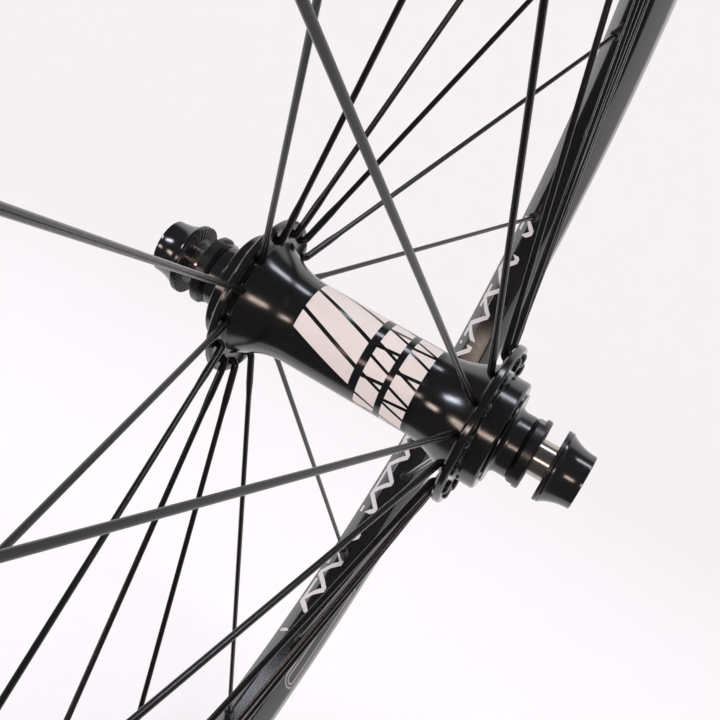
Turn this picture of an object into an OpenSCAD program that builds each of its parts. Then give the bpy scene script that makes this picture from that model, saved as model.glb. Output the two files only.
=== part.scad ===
// Front bicycle wheel for BMX racing: a bolt-on hub, 28 radial spokes and a double-wall rim.
// The origin is the wheel's centre. The axle lies along +Y, which is the wheel's right-hand side.
// Left and right pieces are the same shape, mirrored across the wheel's middle plane.

/* [Axle] */
// Width over the locknuts, which is the space between the fork's ends
hub_width = 100; // [96:1:110]
// Radius of the axle's ends, which carry the bearings
axle_r = 7.5; // [7.2:0.1:8]
// Height of the axle's shoulder between the bearings
axle_shoulder = 0.8; // [0.5:0.1:1.2]
// Wall of the end cap round the axle
cap_wall = 1.1; // [0.8:0.1:1.6]
// Distance by which the end cap's dust flange covers the bearing
cap_flange_lip = 0.6; // [0.3:0.1:1]
// Thickness of the end cap's dust flange
cap_flange_w = 0.5; // [0.4:0.1:1]
// Wall of the locknut round the axle
locknut_wall = 2.1; // [1.7:0.1:3]
// Width of the locknut
locknut_w = 3.7; // [3:0.1:5]
// Depth of each of the locknut's two wrench flats
locknut_flat_depth = 1.1; // [0.6:0.1:1.3]

/* [Bolts] */
// Radius of the bolt's smooth shank
shank_r = 5; // [4.5:0.1:5.4]
// Length of shank inside the axle
shank_depth = 20; // [14:1:26]
// Gap for the fork end, with the bolt as far open as shown
dropout_gap = 4.4; // [4.2:0.1:8]
// Radius of the bolt head's base and of its washer
bolt_base_r = 9.8; // [9:0.1:12]
// Height by which the bolt head's hollow flank falls from its base to its outer face
bolt_taper = 2.4; // [1.6:0.1:3]
// Length of the bolt head over its washer
bolt_head_w = 9.1; // [8:0.1:12]
// Thickness of the serrated washer
washer_w = 0.9; // [0.7:0.1:1.4]
// Width across the flats of the hexagonal key socket
socket_flats = 6; // [5:0.5:8]
// Depth of the key socket
socket_depth = 4.2; // [3:0.1:5]
// Radial teeth on each gripping face
teeth = 36; // [24:2:48]

/* [Bearings] */
// Outer radius of the cartridge bearing
bearing_r = 12; // [11.6:0.1:12.6]
// Width of the cartridge bearing
bearing_w = 5; // [4.4:0.1:6]
// Diameter of a ball, as a share of the space between the axle and the bearing's outside
ball_share = 0.53; // [0.4:0.01:0.6]
// Balls in one bearing
ball_count = 14; // [10:1:14]

/* [Hub shell] */
// Distance from a locknut's face to the outer face of its flange
flange_setback = 14.7; // [12:0.1:18]
// Thickness of a flange
flange_w = 2.4; // [2:0.1:3.2]
// Width of the flange outside the circle of spoke holes
flange_lip = 3.5; // [2.6:0.1:5]
// Distance from the bearing boss to the circle of spoke holes
hole_shoulder = 4; // [3.3:0.1:6]
// Drop from the circle of spoke holes to the barrel where it meets the flange
root_drop = 2.4; // [2:0.1:5]
// Length of the straight middle of the barrel
barrel_straight = 37; // [20:1:44]
// Wall of the barrel
barrel_wall = 1.6; // [1.2:0.1:2.4]
// Wall of the boss round its bearing
boss_wall = 3.2; // [2.4:0.1:4]
// Length of the boss outside its flange
boss_w = 5.4; // [4.5:0.1:6.5]

/* [Spokes] */
// Spokes in the wheel, half of them on each side
spoke_count = 28; // [20:4:36]
// Radius of a spoke at its two ends
spoke_r = 1; // [0.9:0.05:1.15]
// Radius of a spoke's thinner middle, as a share of its ends
spoke_thinning = 0.78; // [0.7:0.01:1]
// Length of a spoke's thicker end, from the elbow
butt_length = 9; // [5:1:20]
// Inside radius of the spoke's elbow
elbow_inside_r = 0.6; // [0.4:0.1:1]
// Width by which a spoke's head stands out round its shank
spoke_head_lip = 0.95; // [0.7:0.05:1.1]
// Wall of a nipple round its spoke
nipple_wall = 0.95; // [0.8:0.05:1.1]
// Length of the nipple's body on the hub's side of the rim
nipple_length = 9; // [7:0.5:12]

/* [Rim] */
// Radius of the tyre's bead seat
bead_seat_r = 203; // [180:1:230]
// Height of the rim's side above the bead seat
bead_wall = 6.3; // [5:0.1:7]
// Radial depth of the rim below the bead seat
rim_depth = 11; // [10:0.5:20]
// Width of the rim over its sides
rim_width = 19; // [18:0.5:30]
// Width of the rim's flat on the hub's side
bed_width = 10; // [9:0.2:13]
// Wall thickness of the rim
rim_wall = 1.4; // [1.2:0.1:1.8]
// Sideways stagger of the spoke holes, as a share of the room beside a nipple's head
hole_stagger = 1; // [0.3:0.05:1.1]
// Radius of the valve hole
valve_r = 4.2; // [3.2:0.1:4.3]

/* [Fits] */
// Gap between pieces that are fixed together
seat_gap = 0.02; // [0.01:0.01:0.04]
// Radial gap of a running fit
running_gap = 0.05; // [0.03:0.01:0.09]
// Gap between pieces that turn past each other
free_gap = 0.3; // [0.2:0.05:0.4]

/* [Hidden] */

left = -1;
right = 1;
cut = 0.1;
weld = 0.15;
edge_break = 0.35;

// Radii of the pieces on the axle.
axle_mid_r = axle_r + axle_shoulder;
cap_r = axle_r + cap_wall;
cap_flange_r = bearing_r + cap_flange_lip;
locknut_r = axle_r + locknut_wall;
bolt_tip_r = bolt_base_r - bolt_taper;

// Radii of the hub shell, built outwards from its bearings.
boss_r = bearing_r + boss_wall;
hole_circle_r = boss_r + hole_shoulder;
flange_r = hole_circle_r + flange_lip;
barrel_root_r = hole_circle_r - root_drop;
barrel_bore_r = (axle_r + bearing_r) / 2 + 0.45;
barrel_r = barrel_bore_r + barrel_wall;

// Places along the axle, measured from the wheel's middle plane.
locknut_y = hub_width / 2;
cap_end_y = locknut_y - locknut_w;
flange_out_y = locknut_y - flange_setback;
flange_in_y = flange_out_y - flange_w;
boss_y = flange_out_y + boss_w;
bearing_out_y = boss_y - free_gap;
bearing_in_y = bearing_out_y - bearing_w;
bearing_mid_y = bearing_out_y - bearing_w / 2;
washer_y = locknut_y + dropout_gap;
head_y = washer_y + washer_w + running_gap;
bolt_end_y = washer_y + bolt_head_w;
bolt_base_y = washer_y + 2 * washer_w;
shank_start_y = locknut_y - shank_depth;
socket_floor_y = bolt_end_y - socket_depth;
shank_end_y = socket_floor_y - 0.8;
axle_end_y = locknut_y - edge_break;

// Bearing races.
ball_r = ball_share * (bearing_r - axle_r) / 2;
ball_circle_r = (axle_r + bearing_r) / 2;
inner_ring_r = ball_circle_r - 0.75 * ball_r;
outer_ring_r = ball_circle_r + 0.75 * ball_r;
race_r = ball_r + 0.04;
cage_half = 0.4;
cage_w = 2 * ball_r + 0.2;
pocket_r = ball_r + 0.06;
seal_w = 0.4;
seal_inset = 0.1;

// Rim heights, measured from the wheel's centre.
rim_out_r = bead_seat_r + bead_wall;
bed_r = bead_seat_r - rim_depth;
well_r = bead_seat_r - 4;
rim_half = rim_width / 2;
bed_half = bed_width / 2;
hook = 0.9;
well_half = rim_half - 4.9;
well_slope = 1.6;

// Spokes.
side_spokes = round(spoke_count / 2);
spoke_step = 360 / side_spokes;
elbow_y = flange_in_y + 0.2;
spoke_tip_r = bed_r + 2.4;
elbow_r = spoke_r + elbow_inside_r;
spoke_head_r = spoke_r + spoke_head_lip;
nipple_r = spoke_r + nipple_wall;
hole_r = spoke_r + 0.25;
nipple_hole_r = nipple_r + 0.12;
nipple_head_r = nipple_r + 0.65;
nipple_head_w = 1.9;
access_hole_r = nipple_head_r + 0.3;
key_flats = 2 * nipple_r - 0.6;
hollow_start = bed_half - 0.65 * rim_wall;
hole_offset = hole_stagger * (hollow_start - nipple_head_r);

// Angle by which a spoke leans towards the middle plane, so that it ends at the offset hole.
function lean(t = 9) = let (
        y = elbow_y - elbow_r * cos(t),
        r = hole_circle_r + elbow_r * (1 - sin(t))
    ) atan((y - hole_offset) / (bed_r - r));
spoke_lean = lean(lean(lean()));
elbow_end_y = elbow_y - elbow_r * cos(spoke_lean);
elbow_end_r = hole_circle_r + elbow_r * (1 - sin(spoke_lean));
spoke_run_r = spoke_r - 0.02;
spoke_mid_r = spoke_r * spoke_thinning;
butt_taper = 5;
thread_length = 14;
spoke_run = (spoke_tip_r - elbow_end_r) / cos(spoke_lean);
bed_run = (bed_r - elbow_end_r) / cos(spoke_lean);
nipple_seat_r = bed_r + rim_wall + nipple_head_r * sin(spoke_lean) + running_gap;

// Radius of the barrel at a distance y from the middle plane: straight, then flaring as a parabola.
function barrel_radius(y) = let (s = max(0, abs(y) - barrel_straight / 2) / (flange_in_y - barrel_straight / 2))
    barrel_r + (barrel_root_r - barrel_r) * pow(s, 2);

// Points along an arc from angle a to angle b.
function arc(cx, cy, r, a, b, steps) =
    [for (i = [0 : steps]) [cx + r * cos(a + (b - a) * i / steps), cy + r * sin(a + (b - a) * i / steps)]];

// Turns a profile of [radius, place along the axle] points about the +Y axis.
module lathe(points, facets = 96) {
    rotate([-90, 0, 0]) rotate_extrude($fn = facets) polygon(points);
}

// A plain ring about the +Y axis, from y0 to y1.
module ring(outer, inner, y0, y1) {
    lathe([[inner, y0], [outer, y0], [outer, y1], [inner, y1]]);
}

// Puts a right-hand piece on the given side.
module on_side(side) {
    if (side == right) children();
    else mirror([0, 1, 0]) children();
}

// Turns a piece drawn at the top of the wheel to the place of spoke i on the given side.
module at_spoke(side, i) {
    rotate([0, side * -spoke_step / 4 + i * spoke_step, 0]) on_side(side) children();
}

// Radial grooves that leave a serrated face, cut into a face at y.
module tooth_grooves(y, r0, r1) {
    depth = 0.3;
    groove_w = PI * (r0 + r1) / teeth / 2;
    for (i = [0 : teeth - 1])
        rotate([0, i * 360 / teeth, 0])
            translate([-groove_w / 4, y - depth, r0])
                cube([groove_w / 2, 2 * depth, r1 - r0 + 1]);
}

module axle() {
    bore = shank_r + running_gap;
    color("silver") {
        ring(axle_mid_r, bore, -bearing_in_y, bearing_in_y);
        ring(axle_r, bore, -axle_end_y, axle_end_y);
    }
}

module end_cap(side) {
    lip_y = bearing_out_y;
    flange_y = boss_y + free_gap;
    fillet_r = 1.8;
    bore = axle_r + seat_gap;
    fillet = arc(cap_r + fillet_r, flange_y + cap_flange_w + fillet_r, fillet_r, -90, -180, 8);
    color("#17171a") on_side(side) lathe(concat(
        [[bore, lip_y], [inner_ring_r - 0.1, lip_y], [inner_ring_r - 0.1, flange_y], [cap_flange_r, flange_y]],
        [[cap_flange_r, flange_y + cap_flange_w]],
        fillet,
        [[cap_r, cap_end_y - seat_gap], [bore, cap_end_y - seat_gap]]
    ));
}

module locknut(side) {
    chamfer = 0.9;
    flat_w = 2.2;
    color("#1b1b1e") on_side(side) difference() {
        lathe([
            [axle_r + seat_gap, cap_end_y], [locknut_r - chamfer, cap_end_y],
            [locknut_r, cap_end_y + chamfer], [locknut_r, locknut_y - edge_break],
            [locknut_r - edge_break, locknut_y], [axle_r + seat_gap, locknut_y]
        ]);
        for (turn = [90, 270])
            rotate([0, turn, 0])
                translate([locknut_r - locknut_flat_depth, cap_end_y - cut, -locknut_r])
                    cube([locknut_r, flat_w + cut, 2 * locknut_r]);
        tooth_grooves(locknut_y, axle_r + 0.5, locknut_r);
    }
}

module bearing_inner(side) {
    color("silver") on_side(side) difference() {
        ring(inner_ring_r, axle_r + seat_gap, bearing_in_y + seat_gap, bearing_out_y - seat_gap);
        translate([0, bearing_mid_y, 0]) race();
    }
}

module bearing_outer(side) {
    color("silver") on_side(side) difference() {
        ring(bearing_r - seat_gap, outer_ring_r, bearing_in_y + seat_gap, bearing_out_y - seat_gap);
        translate([0, bearing_mid_y, 0]) race();
    }
}

// The ring-shaped path of the balls.
module race() {
    rotate([90, 0, 0]) rotate_extrude($fn = 96) translate([ball_circle_r, 0]) circle(race_r, $fn = 48);
}

module bearing_balls(side) {
    color("silver") on_side(side) for (i = [0 : ball_count - 1])
        rotate([0, i * 360 / ball_count, 0])
            translate([0, bearing_mid_y, ball_circle_r]) sphere(ball_r, $fn = 32);
}

module bearing_cage(side) {
    color("#8a6a2f") on_side(side) difference() {
        ring(ball_circle_r + cage_half, ball_circle_r - cage_half,
            bearing_mid_y - cage_w / 2, bearing_mid_y + cage_w / 2);
        for (i = [0 : ball_count - 1])
            rotate([0, i * 360 / ball_count, 0])
                translate([0, bearing_mid_y, ball_circle_r]) sphere(pocket_r, $fn = 32);
    }
}

module bearing_seals(side) {
    outer = outer_ring_r - seat_gap;
    inner = inner_ring_r + running_gap;
    color("#202022") on_side(side) {
        ring(outer, inner, bearing_in_y + seal_inset, bearing_in_y + seal_inset + seal_w);
        ring(outer, inner, bearing_out_y - seal_inset - seal_w, bearing_out_y - seal_inset);
    }
}

// The right half of the shell's outline, from the middle plane to the boss's end face.
function shell_outline() = let (steps = 14, start = barrel_straight / 2, y1 = flange_in_y) concat(
    [for (i = [0 : steps]) let (y = start + (y1 - start) * i / steps) [barrel_radius(y), y]],
    [
        [flange_r - edge_break, flange_in_y], [flange_r, flange_in_y + edge_break],
        [flange_r, flange_out_y - edge_break], [flange_r - edge_break, flange_out_y],
        [boss_r + edge_break, flange_out_y], [boss_r, flange_out_y + edge_break],
        [boss_r, boss_y - edge_break], [boss_r - edge_break, boss_y]
    ]
);

module hub_shell() {
    outline = shell_outline();
    count = len(outline);
    mirrored = [for (i = [count - 1 : -1 : 0]) [outline[i][0], -outline[i][1]]];
    bore_right = [
        [bearing_r, boss_y], [bearing_r, bearing_in_y], [barrel_bore_r, bearing_in_y]
    ];
    bore_left = [
        [barrel_bore_r, -bearing_in_y], [bearing_r, -bearing_in_y], [bearing_r, -boss_y]
    ];
    color("#121214") difference() {
        lathe(concat(mirrored, outline, bore_right, bore_left));
        for (side = [left, right], i = [0 : side_spokes - 1])
            at_spoke(side, i)
                translate([0, flange_in_y - cut, hole_circle_r])
                    rotate([-90, 0, 0]) cylinder(h = flange_w + 2 * cut, r = hole_r, $fn = 32);
    }
}

// One spoke at the top of the wheel: head, elbow, and a straight run that leans to the rim.
// The run is butted: thinner between its two ends.
module spoke() {
    head_w = 0.9;
    neck_y = flange_out_y + 0.05;
    translate([0, neck_y, hole_circle_r]) rotate([-90, 0, 0])
        cylinder(h = head_w, r1 = spoke_head_r, r2 = spoke_head_r - 0.45, $fn = 20);
    translate([0, elbow_y, hole_circle_r]) rotate([-90, 0, 0])
        cylinder(h = neck_y - elbow_y + cut, r = spoke_r, $fn = 20);
    translate([0, elbow_y, hole_circle_r + elbow_r]) rotate([90, 0, 90])
        rotate([0, 0, spoke_lean - 180]) rotate_extrude(angle = 90 - spoke_lean, $fn = 32)
            translate([elbow_r, 0]) circle(spoke_r, $fn = 20);
    translate([0, elbow_end_y, elbow_end_r]) rotate([spoke_lean, 0, 0]) rotate_extrude($fn = 20) polygon([
        [0, -weld], [spoke_run_r, -weld], [spoke_run_r, butt_length], [spoke_mid_r, butt_length + butt_taper],
        [spoke_mid_r, spoke_run - thread_length - butt_taper], [spoke_run_r, spoke_run - thread_length],
        [spoke_run_r, spoke_run], [0, spoke_run]
    ]);
}

module spokes(side) {
    color("#1a1a1c") for (i = [0 : side_spokes - 1]) at_spoke(side, i) spoke();
}

// One nipple at the top of the wheel, in line with its spoke.
module nipple() {
    seat = (nipple_seat_r - elbow_end_r) / cos(spoke_lean);
    base = bed_run - nipple_length;
    key_length = nipple_length - 3;
    translate([0, elbow_end_y, elbow_end_r]) rotate([spoke_lean, 0, 0]) difference() {
        union() {
            translate([0, 0, base]) cylinder(h = seat - base, r = nipple_r, $fn = 32);
            translate([0, 0, seat]) cylinder(h = nipple_head_w, r = nipple_head_r, $fn = 32);
        }
        translate([0, 0, base - cut])
            cylinder(h = seat - base + nipple_head_w + 2 * cut, r = spoke_r + running_gap, $fn = 32);
        for (turn = [0 : 90 : 270])
            rotate([0, 0, turn]) translate([key_flats / 2, -nipple_r, base - cut])
                cube([nipple_r, 2 * nipple_r, key_length]);
    }
}

module nipples(side) {
    color("#1c1c1f") for (i = [0 : side_spokes - 1]) at_spoke(side, i) nipple();
}

// Half of the rim's outer outline, from the bed's middle round to the bead hook.
function rim_outer_half() = concat(
    [[bed_r, 0]],
    arc(bed_r + 1.5, bed_half - 1.5, 1.5, 180, 125, 5),
    [
        [bead_seat_r - 4, rim_half - 0.5], [bead_seat_r - 1, rim_half],
        [rim_out_r - 0.6, rim_half], [rim_out_r, rim_half - 0.5],
        [rim_out_r, rim_half - rim_wall - 0.3], [rim_out_r - hook, rim_half - rim_wall - hook / 2],
        [rim_out_r - 2 * hook, rim_half - rim_wall], [bead_seat_r, rim_half - rim_wall]
    ],
    [[bead_seat_r - 0.5, well_half + well_slope], [well_r, well_half], [well_r, 0]]
);

// Half of the outline of the hollow between the rim's two walls.
function rim_hollow_half() = [
    [bed_r + rim_wall, 0], [bed_r + rim_wall, hollow_start],
    [bead_seat_r - 3.4, rim_half - rim_wall - 0.6], [bead_seat_r - 2.2, rim_half - rim_wall - 0.1],
    [bead_seat_r - 0.5 - rim_wall, rim_half - rim_wall - 0.3],
    [bead_seat_r - 0.5 - rim_wall, well_half + well_slope + 0.9 * rim_wall],
    [well_r - rim_wall, well_half + 0.5 * rim_wall], [well_r - rim_wall, 0]
];

// A whole outline made from its right half.
function both_halves(half) = concat(half, [for (i = [len(half) - 1 : -1 : 0]) [half[i][0], -half[i][1]]]);

module rim() {
    color("#101012") difference() {
        lathe(both_halves(rim_outer_half()), 180);
        lathe(both_halves(rim_hollow_half()), 180);
        for (side = [left, right], i = [0 : side_spokes - 1])
            at_spoke(side, i) translate([0, elbow_end_y, elbow_end_r]) rotate([spoke_lean, 0, 0]) {
                translate([0, 0, bed_run - 4]) cylinder(h = 4 + rim_wall + 1.2 + weld, r = nipple_hole_r, $fn = 32);
                translate([0, 0, bed_run + rim_wall + 1.2]) cylinder(h = rim_depth, r = access_hole_r, $fn = 32);
            }
        rotate([0, 180, 0]) translate([0, 0, bed_r - 2]) cylinder(h = 20, r = valve_r, $fn = 48);
    }
}

// The pressed sleeve that joins the rim's two ends inside its hollow, opposite the valve hole.
module rim_joint_sleeve() {
    half_angle = spoke_step / 4 - 1.6;
    gap = 0.15;
    low = bed_r + rim_wall + gap;
    high = well_r - rim_wall - gap;
    half_w = bed_half - 1.6;
    color("silver") rotate([-90, 0, 0]) rotate([0, 0, -90 - half_angle])
        rotate_extrude(angle = 2 * half_angle, $fn = 180)
            polygon([[low, -half_w], [high, -half_w], [high, half_w], [low, half_w]]);
}

module washer(side) {
    color("#1b1b1e") on_side(side) difference() {
        ring(bolt_base_r, shank_r + running_gap, washer_y, washer_y + washer_w);
        tooth_grooves(washer_y, shank_r + 1.5, bolt_base_r);
    }
}

module bolt_shank(side) {
    tip = 1;
    color("silver") on_side(side) lathe([
        [0, shank_start_y], [shank_r - tip, shank_start_y], [shank_r, shank_start_y + tip],
        [shank_r, shank_end_y], [0, shank_end_y]
    ]);
}

module bolt_head(side) {
    flank_w = bolt_end_y - edge_break - bolt_base_y;
    rise = bolt_base_r - edge_break - bolt_tip_r;
    flank_r = (pow(flank_w, 2) + pow(rise, 2)) / (2 * rise);
    sweep = asin(flank_w / flank_r);
    flank = arc(bolt_tip_r + flank_r, bolt_end_y - edge_break, flank_r, 180 + sweep, 180, 12);
    color("#121214") on_side(side) difference() {
        lathe(concat(
            [[0, head_y], [bolt_base_r, head_y], [bolt_base_r, bolt_base_y - edge_break]],
            flank,
            [[bolt_tip_r - edge_break, bolt_end_y], [0, bolt_end_y]]
        ));
        rotate([-90, 0, 0]) cylinder(h = shank_end_y + seat_gap, r = shank_r + seat_gap, $fn = 64);
        translate([0, socket_floor_y, 0]) rotate([-90, 0, 0])
            cylinder(h = socket_depth + cut, r = socket_flats / sqrt(3), $fn = 6);
    }
}

axle();
end_cap(left);  // end_cap_left
end_cap(right);  // end_cap_right
locknut(left);  // locknut_left
locknut(right);  // locknut_right
bearing_inner(left);  // bearing_inner_left
bearing_inner(right);  // bearing_inner_right
bearing_outer(left);  // bearing_outer_left
bearing_outer(right);  // bearing_outer_right
bearing_balls(left);  // bearing_balls_left
bearing_balls(right);  // bearing_balls_right
bearing_cage(left);  // bearing_cage_left
bearing_cage(right);  // bearing_cage_right
bearing_seals(left);  // bearing_seals_left
bearing_seals(right);  // bearing_seals_right
hub_shell();
spokes(left);  // spokes_left
spokes(right);  // spokes_right
nipples(left);  // nipples_left
nipples(right);  // nipples_right
rim();
rim_joint_sleeve();
washer(left);  // washer_left
washer(right);  // washer_right
bolt_shank(left);  // bolt_shank_left
bolt_shank(right);  // bolt_shank_right
bolt_head(left);  // bolt_head_left
bolt_head(right);  // bolt_head_right
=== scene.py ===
"""Front wheel for BMX racing: bolt-on hub, 28 radial spokes and a double-wall rim.

The origin is the wheel's centre, the axle lies along +Y, and +Z is up.
"""
import math

import bmesh
import bpy
from mathutils import Matrix, Vector


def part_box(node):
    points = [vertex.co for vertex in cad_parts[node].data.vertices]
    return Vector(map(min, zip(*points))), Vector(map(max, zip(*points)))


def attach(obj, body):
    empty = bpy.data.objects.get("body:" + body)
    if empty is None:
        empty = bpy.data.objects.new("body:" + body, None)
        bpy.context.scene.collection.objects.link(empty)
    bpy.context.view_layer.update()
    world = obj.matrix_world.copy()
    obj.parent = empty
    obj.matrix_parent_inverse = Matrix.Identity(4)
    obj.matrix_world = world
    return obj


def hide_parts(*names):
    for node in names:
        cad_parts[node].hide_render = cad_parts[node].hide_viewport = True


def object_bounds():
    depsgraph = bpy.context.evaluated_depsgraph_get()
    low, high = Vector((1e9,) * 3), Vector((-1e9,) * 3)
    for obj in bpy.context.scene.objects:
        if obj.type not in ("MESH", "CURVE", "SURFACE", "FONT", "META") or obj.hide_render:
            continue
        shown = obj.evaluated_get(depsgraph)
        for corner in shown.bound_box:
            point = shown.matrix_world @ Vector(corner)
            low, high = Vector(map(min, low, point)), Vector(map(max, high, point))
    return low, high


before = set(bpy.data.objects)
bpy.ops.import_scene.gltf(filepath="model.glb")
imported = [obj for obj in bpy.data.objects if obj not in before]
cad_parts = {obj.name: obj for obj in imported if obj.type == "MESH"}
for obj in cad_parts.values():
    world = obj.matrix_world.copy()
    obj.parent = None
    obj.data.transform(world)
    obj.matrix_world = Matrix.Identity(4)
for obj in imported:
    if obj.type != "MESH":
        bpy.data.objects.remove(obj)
cad_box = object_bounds()

bl_info = {
    "name": "Racing Front Wheel",
    "version": (1, 0, 0),
    "blender": (4, 5, 0),
    "location": "View3D > Sidebar > Wheel",
    "description": "Builds the hub, spokes and rim of a bolt-on bicycle front wheel",
    "category": "Add Mesh",
}

MM = 0.001
FIT = 0.02          # gap between parts that are pressed or screwed together, in millimetres
SIDES = (("left", -1), ("right", 1))


def linear(colour):
    """Turn an sRGB hex colour into linear RGBA."""
    parts = [int(colour[i:i + 2], 16) / 255 for i in (1, 3, 5)]
    return tuple(p / 12.92 if p <= 0.04045 else ((p + 0.055) / 1.055) ** 2.4 for p in parts) + (1.0,)


def top_of(node):
    """Highest corner of a CAD node, for sizes that follow the CAD."""
    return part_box(node)[1]


# ---------------------------------------------------------------- sizes and colours

def length(name, description, default):
    return bpy.props.FloatProperty(name=name, description=description, default=default,
                                   min=0.0, precision=5, unit="LENGTH")


def colour(name, description, default):
    return bpy.props.FloatVectorProperty(name=name, description=description, size=4, min=0.0,
                                         max=1.0, default=linear(default), subtype="COLOR")


class WheelSizes(bpy.types.PropertyGroup):
    """Sizes of the wheel's pieces."""
    flange_radius: length("Flange radius", "Radius of each spoke flange", top_of("hub_shell")[0])
    flange_outer: length("Flange place", "From the middle plane to a flange's outer face", 35.3 * MM)
    flange_width: length("Flange width", "Thickness of a flange", 2.4 * MM)
    hole_circle: length("Spoke hole circle", "Radius of the circle of spoke holes", 19.2 * MM)
    barrel_radius: length("Barrel radius", "Radius of the barrel at its middle", 11.8 * MM)
    barrel_root: length("Barrel root", "Radius of the barrel where it meets a flange", 16.8 * MM)
    barrel_straight: length("Barrel straight", "Length of the straight middle of the barrel", 37 * MM)
    barrel_bore: length("Barrel bore", "Radius of the bore between the bearings", 10.2 * MM)
    boss_radius: length("Boss radius", "Radius of the boss round a bearing", 15.2 * MM)
    boss_end: length("Boss end", "From the middle plane to a boss's end face", top_of("hub_shell")[1])
    bearing_radius: length("Bearing radius", "Radius of a bearing's seat in its boss", 12 * MM)
    bearing_place: length("Bearing place", "From the middle plane to a bearing's inner face", 35.4 * MM)
    axle_radius: length("Axle radius", "Radius of the axle under the caps and locknuts", 7.5 * MM)
    cap_radius: length("End cap radius", "Radius of an end cap's barrel", 8.6 * MM)
    locknut_radius: length("Locknut radius", "Radius of a locknut", top_of("locknut_right")[2])
    locknut_width: length("Locknut width", "Width of a locknut along the axle", 3.7 * MM)
    hub_half: length("Hub half width", "From the middle plane to a locknut's face",
                     top_of("locknut_right")[1])
    bolt_radius: length("Bolt radius", "Radius of a bolt head at its base",
                        top_of("bolt_head_right")[0])
    bolt_tip: length("Bolt tip radius", "Radius of a bolt head's outer face", 7.4 * MM)
    bolt_end: length("Bolt end", "From the middle plane to a bolt's outer face",
                     top_of("bolt_head_right")[1])
    shank_radius: length("Shank radius", "Radius of a bolt's threaded shank", 5 * MM)
    key_width: length("Key width", "Width across the flats of a bolt's key socket", 6 * MM)
    spokes_per_side: bpy.props.IntProperty(name="Spokes on a side", min=10, max=18, default=14,
                                           description="Spokes that leave each flange")
    spoke_radius: length("Spoke radius", "Radius of a spoke at its two ends", 1.0 * MM)
    spoke_middle: length("Spoke middle radius", "Radius of a spoke's thinner middle", 0.78 * MM)
    nipple_length: length("Nipple length", "Length of nipple that shows under the rim", 9 * MM)
    nipple_radius: length("Nipple radius", "Radius of a nipple's body", 1.95 * MM)
    nipple_head: length("Nipple head radius", "Radius of a nipple's head inside the rim", 2.6 * MM)
    rim_bed: length("Rim bed radius", "Radius of the rim's flat on the hub's side", 192 * MM)
    rim_crest: length("Rim crest radius", "Radius of the rim's outer edge", 209.2 * MM)
    rim_half_width: length("Rim half width", "Half of the rim's width at its bead hooks", 9.5 * MM)
    rim_offset: length("Spoke hole offset", "Sideways offset of the rim's spoke holes", 1.49 * MM)
    valve_radius: length("Valve hole radius", "Radius of the valve's hole", 4.2 * MM)


class WheelColours(bpy.types.PropertyGroup):
    """Colours of the wheel's finishes."""
    hub_black: colour("Hub black", "Gloss black anodising of the hub", "#0c0b0e")
    etched: colour("Etched silver", "Bare aluminium where the hub's graphics are etched", "#e7dcd8")
    steel: colour("Bolt steel", "Polished steel of the bolt shanks", "#c9c4c0")
    bolt_black: colour("Bolt black", "Black of the bolts, caps and locknuts", "#0d0d10")
    spoke_black: colour("Spoke black", "Semi-gloss black coating of the spokes", "#0b090a")
    nipple_black: colour("Nipple black", "Satin black of the nipples", "#17161a")
    rim_black: colour("Rim black", "Gloss black anodising of the rim", "#0e0d10")
    rim_lines: colour("Rim lines", "Pale printed lines on the rim's flanks", "#d8d2d4")
    paper: colour("Floor", "Pale floor and sweep", "#e2e0e1")


# ---------------------------------------------------------------- shapes

def arc(centre, radius, start, end, steps):
    """Points along an arc, with its angles in degrees."""
    turn = [math.radians(start + (end - start) * i / steps) for i in range(steps + 1)]
    return [(centre[0] + radius * math.cos(a), centre[1] + radius * math.sin(a)) for a in turn]


def mirrored(half):
    """A whole outline from its right half, going on to the left half in mirror image."""
    return half + [(radius, -along) for radius, along in reversed(half) if along]


def turned(outline, steps=96, closed=True, axis=(0, 1, 0)):
    """Turn an outline of (radius, place along the axis) points in millimetres, as on a lathe."""
    bm = bmesh.new()
    along = Vector(axis)
    out = Vector((1, 0, 0))
    points = [bm.verts.new((out * r + along * y) * MM) for r, y in outline]
    edges = [bm.edges.new(pair) for pair in zip(points, points[1:])]
    if closed:
        edges.append(bm.edges.new((points[-1], points[0])))
    bmesh.ops.spin(bm, geom=points + edges, cent=(0, 0, 0), axis=along, angle=2 * math.pi,
                   steps=steps, use_merge=True)
    bmesh.ops.remove_doubles(bm, verts=bm.verts, dist=1e-7)
    bmesh.ops.recalc_face_normals(bm, faces=bm.faces)
    return bm


def soften(bm, width, least_angle=28, segments=2):
    """Break the sharp edges by a small rounded bevel."""
    sharp = [edge for edge in bm.edges
             if len(edge.link_faces) == 2 and edge.calc_face_angle() > math.radians(least_angle)]
    bmesh.ops.bevel(bm, geom=sharp, offset=width * MM, offset_type="OFFSET", segments=segments,
                    profile=0.5, affect="EDGES", clamp_overlap=True, material=-1)


def join(*shapes):
    """Put several shapes into one, and free the rest."""
    whole = bmesh.new()
    for shape in shapes:
        mesh = bpy.data.meshes.new("joined")
        shape.to_mesh(mesh)
        shape.free()
        whole.from_mesh(mesh)
        bpy.data.meshes.remove(mesh)
    return whole


def round_the_axle(bm, angles):
    """Repeat a shape drawn at the top of the wheel, turned about the axle by each angle."""
    first = bm.verts[:] + bm.edges[:] + bm.faces[:]
    copies = [bmesh.ops.duplicate(bm, geom=first)["geom"] for _ in angles[1:]]
    for shape, angle in zip([first] + copies, angles):
        verts = [v for v in shape if isinstance(v, bmesh.types.BMVert)]
        bmesh.ops.rotate(bm, verts=verts, cent=(0, 0, 0), matrix=Matrix.Rotation(angle, 3, "Y"))


def on_side(bm, side):
    """Mirror a right-hand shape across the middle plane if it is for the left side."""
    if side < 0:
        bmesh.ops.scale(bm, vec=(1, -1, 1), verts=bm.verts)
        bmesh.ops.reverse_faces(bm, faces=bm.faces)


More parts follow.
